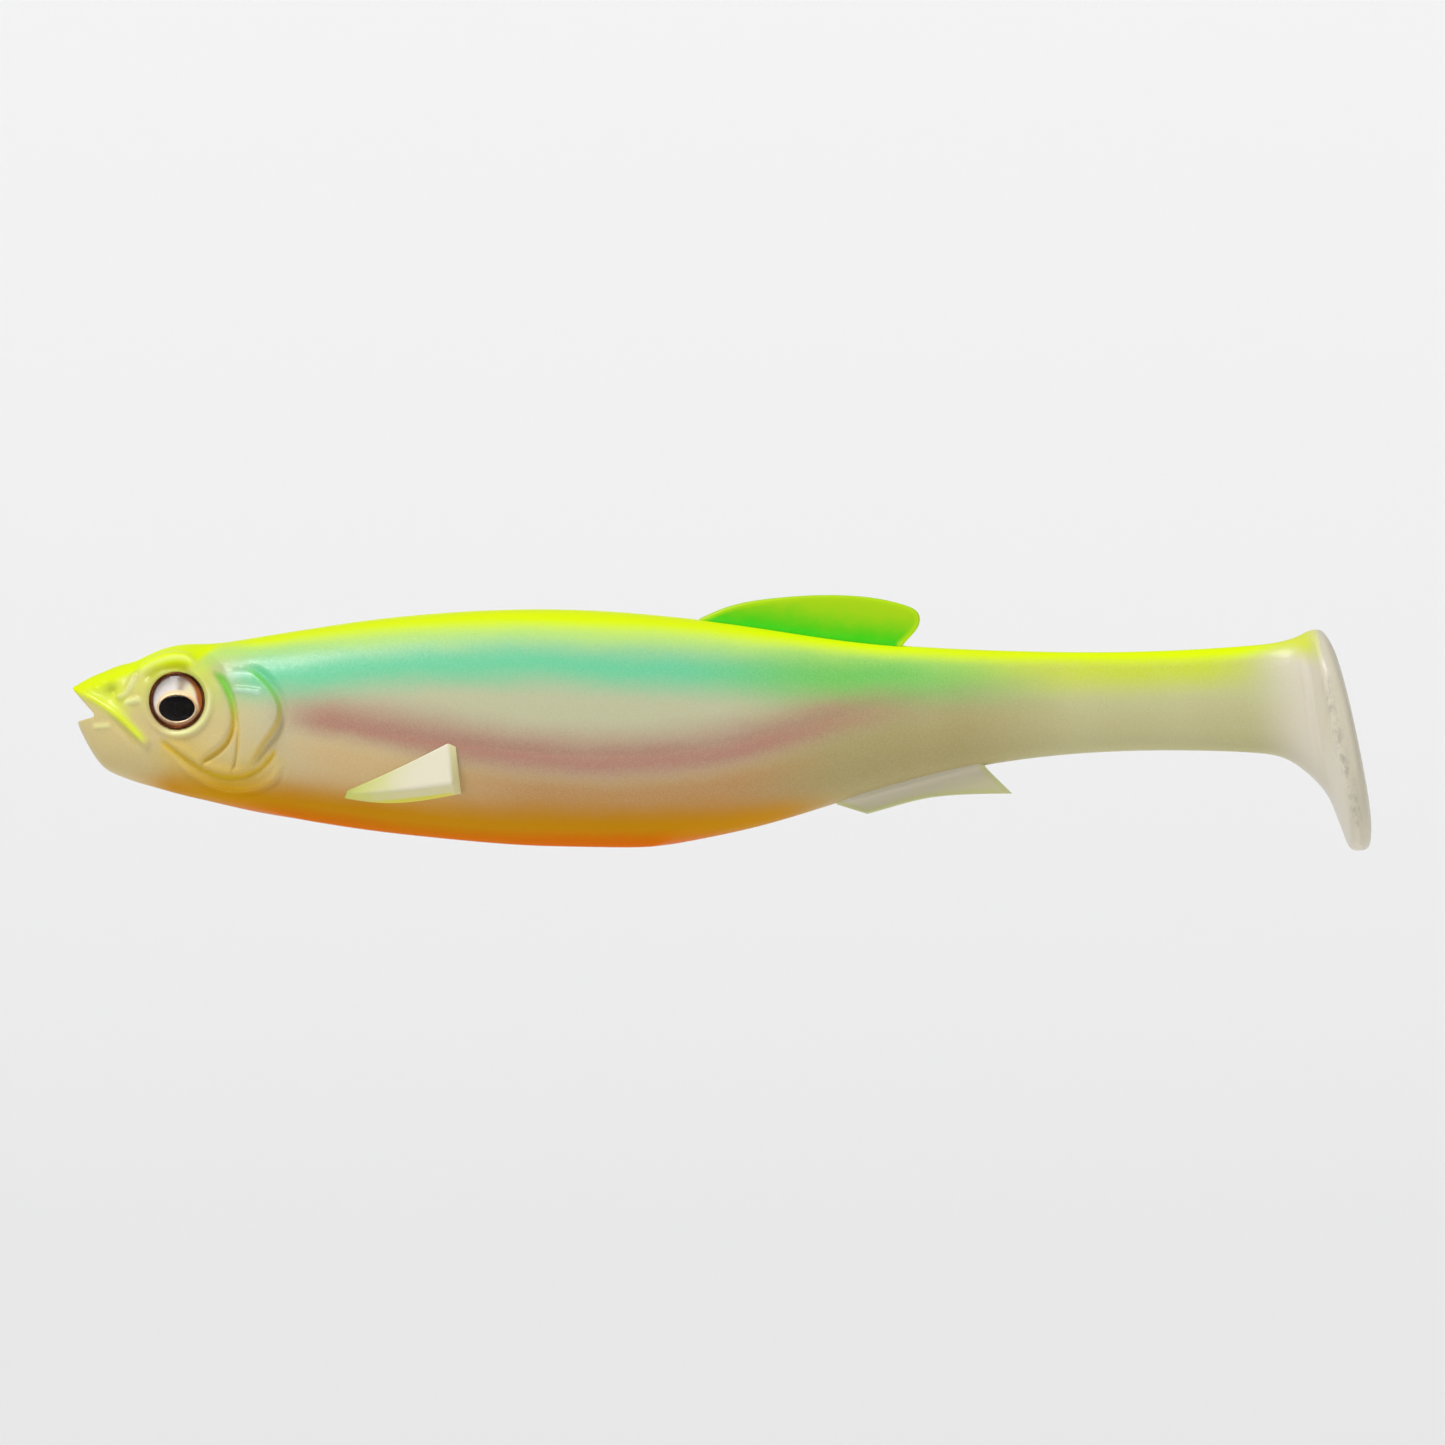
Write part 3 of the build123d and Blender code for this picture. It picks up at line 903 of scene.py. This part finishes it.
# Each skin's name, its flexure, how far to each side of it the skin bends, its slot and what it stands for
SKINS = (
    ("body_skin", "body_bend", 7.5, "painted_vinyl", "front_body", "rear_body"),
    ("stem_front_skin", "stem_front_bend", 6, "pearl_vinyl", "tail_stem_front"),
    ("stem_rear_skin", "stem_rear_bend", 6, "pearl_vinyl", "tail_stem_rear"),
    ("paddle_skin", "paddle_kick", 6, "pearl_vinyl", "tail_paddle"),
)


def make_skins():
    """Four skins, each across one flexure, that meet ring to ring where nothing bends."""
    rings, nose, tail = whole_body()
    middle = rings[:, :, 0].mean(axis=1)
    cuts = [0, *(int(np.argmin(np.abs(middle - seam))) for seam in SEAMS), len(rings) - 1]
    material = painted_skin()
    for i, (name, flexure, reach, slot, *hidden) in enumerate(SKINS):
        start, end = cuts[i], cuts[i + 1]
        is_last = i == len(SKINS) - 1
        skin = ring_mesh(name, rings[start : end + 1], nose if i == 0 else None, tail if is_last else None)
        if i == 0:
            skin = cut_slot(skin)

        def on_seam(p):
            return min(abs(p.x - middle[start]), abs(p.x - middle[end])) < 0.2 and 20 < p.x < 140

        sharpen(skin, on_seam, 50)
        store_paint(skin)
        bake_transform(skin)
        dress(skin, material, slot, *hidden)


# ---- fins

# The fins' root lengths, and their free edges between the roots' ends, as x and z
DORSAL_ROOT, ANAL_ROOT = 23.9, 17.8
BURIED = 1.2  # how far the fins' feet run into the body
DORSAL_EDGE = (
    (73.8, 12.4), (79.7, 13.55), (85.5, 13.9), (91.4, 13.55), (94.9, 12.75), (96.6, 11.7), (96.7, 10.6),
    (96, 9.4),
)
ANAL_FRONT = (90.6, -11.8)
ANAL_EDGE = ((93.4, -11), (97.3, -10), (102.4, -9.5))
ANAL_REAR = (107.6, -9.4)


def root_of(joint, length):
    """Both ends of a fin's root line, from its flexing joint, in x and z."""
    middle = np.array(joint["pos_m"])[[0, 2]] / MM
    along = np.array(joint["axis"])[[0, 2]]
    along = along / np.linalg.norm(along)
    return np.array([middle - along * length / 2, middle + along * length / 2])


def blade(name, joint, root, edge, thickness, edge_thickness, flare, above):
    """A fin from its root line to its free edge, thin at the edge and flared where it meets the body.

    Its argument above is not used.
    """
    count, rows = len(edge), 40
    along = chord_lengths(edge)
    along = along / along[-1]
    base = root[0] + (root[1] - root[0]) * along[:, None]
    up = np.array([-(root[1] - root[0])[1], (root[1] - root[0])[0]])
    up = up / np.linalg.norm(up)
    if (edge.mean(axis=0) - root.mean(axis=0)) @ up < 0:
        up = -up
    base = base - up * BURIED
    share = 1 - (1 - np.linspace(0, 1, rows)) ** 1.8
    points = base + (edge - base) * share[:, None, None]
    height = (points - root[0]) @ up
    to_edge = np.linalg.norm(edge - points, axis=2)
    to_tip = np.clip(height.max() - height, 0, None) / height.max()
    half = edge_thickness / 2 + (thickness - edge_thickness) / 2 * to_tip
    rounding = edge_thickness / 2
    half = half * np.sqrt(np.clip(1 - (1 - np.clip(to_edge / rounding, 0, 1)) ** 2, 0, 1))
    half = half + flare * np.exp(-np.clip(height, 0, None) / 0.4) * np.clip(to_edge / 1.5, 0, 1)

    def quads(*corners):
        return np.stack(corners, axis=-1).reshape(-1, 4).tolist()

    # The right side shares the left side's points along the free edge
    shared = to_edge < 1e-9
    shared[-1] = True
    left = np.arange(rows * count).reshape(rows, count)
    right = np.where(shared, left, left.size - 1 + np.cumsum(~shared).reshape(rows, count))
    sides = [np.dstack([points[..., 0], sign * half, points[..., 1]]) for sign in (-1, 1)]
    vertices = np.concatenate([sides[0].reshape(-1, 3), sides[1][~shared]])
    faces = []
    for n in (left, right):
        faces += quads(n[:-1, :-1], n[:-1, 1:], n[1:, 1:], n[1:, :-1])
    faces += quads(left[0, :-1], left[0, 1:], right[0, 1:], right[0, :-1])
    a, b = left[:, :: count - 1], right[:, :: count - 1]
    faces += quads(a[:-1], a[1:], b[1:], b[:-1])
    faces = [face for face in (tuple(dict.fromkeys(face)) for face in faces) if len(face) > 2]
    fin = new_mesh(name, vertices, faces)
    place = store_place(fin)
    side_on = place[:, [0, 2]]
    store(fin, "reach", np.clip((side_on - root[0]) @ up / height.max(), 0, 1))
    store(fin, "rim", 1 - ramp(np.abs(nearest(side_on, edge)[0]), 0.1, 1))
    pivot, upward = Vector(joint["pos_m"]), Vector((up[0], 0, up[1])) * MM
    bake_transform(fin)
    return fin


def make_fins():
    """The dorsal and anal fins, which flex about their roots."""
    joint = joints["dorsal_fin_flex"]
    root = root_of(joint, DORSAL_ROOT)
    edge = drawn_curve([root[0], *DORSAL_EDGE, root[1]], 120)
    sizes = {"thickness": 1.6, "edge_thickness": 0.7, "flare": 0.2, "above": 2.4}
    fin = blade("dorsal_fin_blade", joint, root, edge, **sizes)
    green = plain_vinyl("dorsal_vinyl", (60, 212, 0), (178, 220, 0), (184, 226, 0))
    dress(fin, green, "green_vinyl", "dorsal_fin")

    joint = joints["anal_fin_flex"]
    root = root_of(joint, ANAL_ROOT)
    front = np.linspace(root[0], ANAL_FRONT, 20)[:-1]
    lower = drawn_curve([ANAL_FRONT, *ANAL_EDGE, ANAL_REAR], 70)
    edge = np.concatenate([front, lower, np.linspace(ANAL_REAR, root[1], 24)[1:]])
    sizes = {"thickness": 1.4, "edge_thickness": 0.6, "flare": 0.45, "above": 2.2}
    fin = blade("anal_fin_blade", joint, root, edge, **sizes)
    pearl = plain_vinyl("anal_vinyl", (206, 197, 172), (206, 202, 158), (198, 199, 144))
    dress(fin, pearl, "pearl_vinyl", "anal_fin")


# Pectoral wedge: x at the middle of its height, then the corners as distance from the centre plane and z, in
# the order top, ridge, lower outer, lower inner. PECTORAL_FOOT is the same at the foot of the rear bevel.
PECTORAL = (
    (29.5, (5.9, -9.1), (6.15, -9.4), (5.95, -9.9), (5, -9.9)),
    (34, (7.7, -7.1), (8.2, -9), (7.4, -10.45), (4.8, -10.3)),
    (42, (8.6, -3.3), (10.5, -8.1), (9.6, -9.5), (4.6, -9.5)),
)
STATIONS = np.array([row[0] for row in PECTORAL])
PECTORAL_FOOT = (42.85, (8.5, -3.75), (9, -7.95), (8.2, -9.35), (4.6, -9.4))
PECTORAL_MIDDLE_Z = -6.4
PECTORAL_LEAN = 0.105  # how much further back the rear end is for each millimetre down
PECTORAL_PROUD = 0.12  # how far the wedge's top edge stands out of the flank
CORNER_POINTS, SIDE_POINTS = 7, 14


def bow(a, b, c, t):
    """The place at share t of the curve from a to c that leans towards b."""
    return (1 - t) ** 2 * a + 2 * t * (1 - t) * b + t * t * c


def rounded_corners(corners, rounding):
    """A closed outline through the corners, each rounded, as a fixed number of points."""

    def towards(others):
        run = others - corners
        length = np.linalg.norm(run, axis=1, keepdims=True)
        return corners + run / length * np.minimum(rounding, 0.35 * length)

    starts, ends = towards(np.roll(corners, 1, axis=0)), towards(np.roll(corners, -1, axis=0))
    points = []
    for i, corner in enumerate(corners):
        for t in np.linspace(0, 1, CORNER_POINTS):
            points.append(bow(starts[i], corner, ends[i], t))
        for t in np.linspace(0, 1, SIDE_POINTS + 2)[1:-1]:
            points.append(ends[i] + (starts[(i + 1) % len(corners)] - ends[i]) * t)
    return np.array(points)


def flank_width(x, z):
    """Distance from the centre plane to the trunk's surface at a place."""
    rows = np.array(TRUNK)
    back, belly, width = spline(rows[:, 0], rows[:, 1:], np.array([x]))[0]
    across, up = quarter(np.linspace(0, 1, 200))
    middle, half = (back + belly) / 2, (back - belly) / 2
    return width * np.interp(abs(z - middle) / half, up[::-1], across[::-1])


def pectoral_rings():
    """The left and right wedges' sections, with y as the distance from the centre plane."""
    corners = np.array([row[1:] for row in PECTORAL])
    foot_x, foot = PECTORAL_FOOT[0], np.array(PECTORAL_FOOT[1:])
    rows = []
    # The wedge itself, its rounded rear edge, and the bevel behind it
    for x in np.linspace(STATIONS[0], STATIONS[-1], 56):
        row = spline(STATIONS, corners, np.array([x]))[0]
        row[0, 0] = flank_width(x, row[0, 1]) + PECTORAL_PROUD * np.clip((x - 30) / 3, -0.5, 1)
        rows.append((x, row))
    last_x, last = rows.pop()
    before_x, before = rows[-1]
    towards_x, towards = last_x + 0.3 * (foot_x - last_x), last + 0.3 * (foot - last)
    for t in np.linspace(0, 1, 7):
        rows.append((bow(before_x + 0.02, last_x, towards_x, t), bow(before, last, towards, t)))
    for t in np.linspace(0.3, 1, 6)[1:]:
        rows.append((last_x + t * (foot_x - last_x), last + t * (foot - last)))
    rings = []
    for x, row in rows:
        share = np.clip((x - STATIONS[0]) / (STATIONS[-1] - STATIONS[0]), 0, 1)
        outline = rounded_corners(row, 0.12 + 0.22 * share)
        lean = (PECTORAL_MIDDLE_Z - outline[:, 1]) * PECTORAL_LEAN * share
        rings.append(np.column_stack([x + lean, outline]))
    return np.array(rings)


def make_pectorals():
    """The two wedge-shaped pectoral fins on the flanks."""
    material = plain_vinyl("pectoral_vinyl", (212, 216, 112), (228, 222, 196), (228, 220, 74), 0.2)
    ridge = np.array([row[2][1] for row in PECTORAL])
    for side, name in ((-1, "left"), (1, "right")):
        fin = ring_mesh(f"{name}_pectoral_wedge", pectoral_rings() * (1, side, 1))
        x, y, z = store_place(fin).T
        upright_x = x - (PECTORAL_MIDDLE_Z - z) * PECTORAL_LEAN
        store(fin, "reach", np.clip((upright_x - 31) / 9 + (z + 7) * -0.06, 0, 1))
        below = spline(STATIONS, ridge, upright_x) - z
        bevel = ramp(upright_x, STATIONS[-1] - 0.05, STATIONS[-1] + 0.2)
        lower = 0.35 * ramp(below, 0, 0.35) + 0.55 * ramp(below, 0.9, 1.35)
        store(fin, "rim", np.maximum(0.4 * bevel, lower * (1 - bevel)))
        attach(fin, "head_and_trunk")
        dress(fin, material, "pearl_vinyl", f"{name}_pectoral_fin")


# ---- eyes

BORE = 3
LENS_PROUD, LENS_DOME_RADIUS = 1, 5.6
FOIL_RADIUS = 2.95
FOIL_RAYS = 48
IRIS_TOP = -0.3  # height of the foil's rim over the eye's face
PUPIL_HALF = np.array((2.1, 1.5))  # half width and half height
PUPIL_DROP = 0.88  # the pupil sits below the eye's centre
WIRE_RADIUS = 0.12  # of the ring round the pupil
# Outline of the eye's rim, as radius and height over the eye's face
RIM_PROFILE = (
    (3.33, -2.2), (3.35, -0.1), (3.34, 0.1), (3.29, 0.22), (3.21, 0.29), (3.12, 0.3), (3.05, 0.24),
    (3.01, 0.12), (3, -0.1), (3, -1.45), (2.9, -1.66), (2.9, -2.2),
)
# Outline of the pupil's disc, as the share of its half sizes and the height over its foot
PUPIL_PROFILE = ((1, 0), (1, 0.13), (0.97, 0.17), (0.6, 0.2), (0.05, 0.21))
TURNS = np.linspace(0, 2 * math.pi, 96, endpoint=False)
CIRCLE = np.stack([np.cos(TURNS), np.sin(TURNS)], axis=1)


def loop(radius, height, drop=0):
    """Points round an eye's axis, as forward, up and out. The radius may be a half width and half height."""
    return np.column_stack([CIRCLE * radius - (0, drop), height + np.zeros(len(CIRCLE))])


def placed(loops, side):
    """Loops round an eye's axis, in the row's frame."""
    local = np.array(loops)
    centre, forward, up, out = eye_frame(side)
    return centre + local[..., :1] * forward + local[..., 1:2] * up + local[..., 2:] * out


def foil_loops():
    """The iris: a shallow dish with fine rays."""
    loops = [loop(FOIL_RADIUS, IRIS_TOP - 0.3)]
    for r in np.linspace(FOIL_RADIUS, 0.1, 30):
        wave = 0.012 * np.sin(TURNS * FOIL_RAYS) * ramp(r, 0.4, 1.2)
        loops.append(loop(r, IRIS_TOP - 0.02 - 0.1 * (1 - r / FOIL_RADIUS) + wave))
    return loops


def wire_loops():
    """The thin ring round the pupil."""
    loops = []
    for t in np.linspace(0, 2 * math.pi, 16, endpoint=False):
        size = PUPIL_HALF + 0.08 + WIRE_RADIUS * math.cos(t)
        loops.append(loop(size, IRIS_TOP + 0.1 + 0.8 * WIRE_RADIUS * math.sin(t), PUPIL_DROP))
    return loops


def store_iris(iris, side):
    """Keeps the amounts of the iris's colours on its mesh."""
    centre, forward, up, out = eye_frame(side)
    place = points_of(iris)
    ahead, high = (place - centre) @ forward, (place - centre) @ up
    radius = np.hypot(ahead, high) / FOIL_RADIUS
    # Turns round the eye from its rear: a quarter is straight up
    turn = np.arctan2(high, -ahead)
    rearward = 0.5 + 0.5 * np.cos(turn + math.radians(15))
    lower = ramp(-high, 0.9, 2.3) * ramp(radius, 0.6, 0.9)
    half_width, half_height = PUPIL_HALF + (0.36, 0.42)
    from_pupil = np.hypot(ahead / half_width, (high + PUPIL_DROP - 0.12) / half_height)
    outer = ramp(radius + 0.34 * rearward, 0.98, 1.16)
    for name, amount in (
        ("rays", 0.5 + 0.5 * np.sin(np.arctan2(high, ahead) * FOIL_RAYS)),
        ("copper", outer * ramp(rearward, 0.3, 0.6)),
        ("edge", ramp(radius, 0.88, 0.98) + 0.9 * lower),
        ("streak", 0.8 * bell(turn - math.radians(74), 0.3) * ramp(radius, 0.2, 0.4)),
        ("cream", bell(turn - math.radians(35), 0.5)),
        ("glow", 1 - ramp(from_pupil, 0.92, 1.06)),
    ):
        store(iris, name, amount)


def make_eyes():
    """Two domed eyes: a copper rim, a rayed foil iris, a gold ring, a black pupil and a clear lens."""
    # The iris, the ring and the pupil are cast into the lens, whose foot lies just under the iris's face
    radii = np.linspace(BORE - 0.02, 0.05, 40)
    dome = LENS_PROUD - LENS_DOME_RADIUS + np.sqrt(LENS_DOME_RADIUS**2 - radii**2)
    lens = [loop(r, h) for r, h in [(BORE - 0.02, IRIS_TOP - 0.2), *zip(radii, dome)]]
    pupil = [loop(PUPIL_HALF * share, IRIS_TOP - 0.05 + h, PUPIL_DROP) for share, h in PUPIL_PROFILE]
    copper = metal("copper_rim", (118, 64, 34), 0.24, (70, 36, 22))
    gold = metal("gold_ring", (255, 232, 196), 0.3, (246, 200, 140), 0.35)
    # Each piece's name, loops, material and slot, and the CAD solid that it stands for
    pieces = (
        ("rim", [loop(r, h) for r, h in RIM_PROFILE], copper, "eye_cup", "cup"),
        ("iris", foil_loops(), iris_foil(), "eye_foil", "foil"),
        ("ring", wire_loops(), gold, "eye_foil"),
        ("pupil_disc", pupil, gloss_black(), "eye_pupil", "pupil"),
        ("dome", lens, clear_lens(), "eye_lens", "lens"),
    )
    for side, eye in ((-1, "left_eye_"), (1, "right_eye_")):
        for name, loops, material, slot, *node in pieces:
            rings = placed(loops, side)
            if name == "ring":
                faces = tube_faces(*rings.shape[:2], closed=True)
                piece = new_mesh(eye + name, rings.reshape(-1, 3), faces)
            else:
                piece = ring_mesh(eye + name, rings)
            store_place(piece)
            if name == "iris":
                store_iris(piece, side)
            if name == "dome":
                sharpen(piece, lambda p: True)
                piece.visible_shadow = False
            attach(piece, "head_and_trunk")
            dress(piece, material, slot, *(eye + solid for solid in node))


# ---- floor, light and camera

FLOOR_Z = -0.12
LENS, SENSOR = 200, 36


def make_stage():
    """A plain pale floor that curves up into a wall far behind the object. Its sizes are in metres."""
    bend = 6
    profile = [(-4, FLOOR_Z)]
    for a in np.linspace(0, math.radians(60), 33):
        profile.append((1 + bend * math.sin(a), FLOOR_Z + bend * (1 - math.cos(a))))
    points = [(x, y, z) for y, z in profile for x in (-5, 5)]
    faces = [(2 * i, 2 * i + 1, 2 * i + 3, 2 * i + 2) for i in range(len(profile) - 1)]
    mesh = bpy.data.meshes.new("studio_floor")
    mesh.from_pydata(points, [], faces)
    mesh.polygons.foreach_set("use_smooth", np.ones(len(faces), bool))
    paint = Paint("studio_white", Roughness=0.9)
    paint.shader.inputs["Base Color"].default_value = (0.92, 0.92, 0.92, 1)
    mesh.materials.append(paint.material)
    add("studio_floor", mesh)


def sun(name, towards, strength, angle):
    """A distant light in the given direction from the object, softened over an angle in degrees."""
    data = bpy.data.lights.new(name, "SUN")
    data.energy, data.angle = strength, math.radians(angle)
    light = add(name, data)
    light.rotation_mode = "QUATERNION"
    light.rotation_quaternion = Vector(towards).to_track_quat("Z", "Y")


def make_light():
    """Even studio light: a pale surround, a broad light high on the left, a weaker one low on the right."""
    world = bpy.data.worlds.new("studio")
    world.use_nodes = True
    nodes, link = world.node_tree.nodes, world.node_tree.links.new
    surround, backdrop = nodes["Background"], nodes.new("ShaderNodeBackground")
    for background, strength in ((surround, 0.28), (backdrop, 0.8)):
        background.inputs["Color"].default_value = (1, 1, 1, 1)
        background.inputs["Strength"].default_value = strength
    path, either = nodes.new("ShaderNodeLightPath"), nodes.new("ShaderNodeMixShader")
    link(path.outputs["Is Camera Ray"], either.inputs[0])
    link(surround.outputs[0], either.inputs[1])
    link(backdrop.outputs[0], either.inputs[2])
    link(either.outputs[0], nodes["World Output"].inputs["Surface"])
    bpy.context.scene.world = world
    sun("key", (-0.45, -0.5, 0.95), 2.1, 24)
    sun("fill", (0.9, -0.8, 0.25), 0.45, 40)


def make_camera():
    """A long lens square to the fish's left side."""
    low, high = cad_box
    data = bpy.data.cameras.new("camera")
    data.lens, data.sensor_width = LENS, SENSOR
    data.clip_start, data.clip_end = 0.05, 20
    camera = add("camera", data)
    camera.location = ((low.x + high.x) / 2, -AWAY * MM, (low.z + high.z) / 2)
    camera.rotation_euler = (math.pi / 2, 0, 0)
    bpy.context.scene.camera = camera


make_camera()
make_skins()
make_fins()
make_pectorals()
make_eyes()
make_stage()
make_light()
bpy.context.scene.view_settings.view_transform = "Standard"
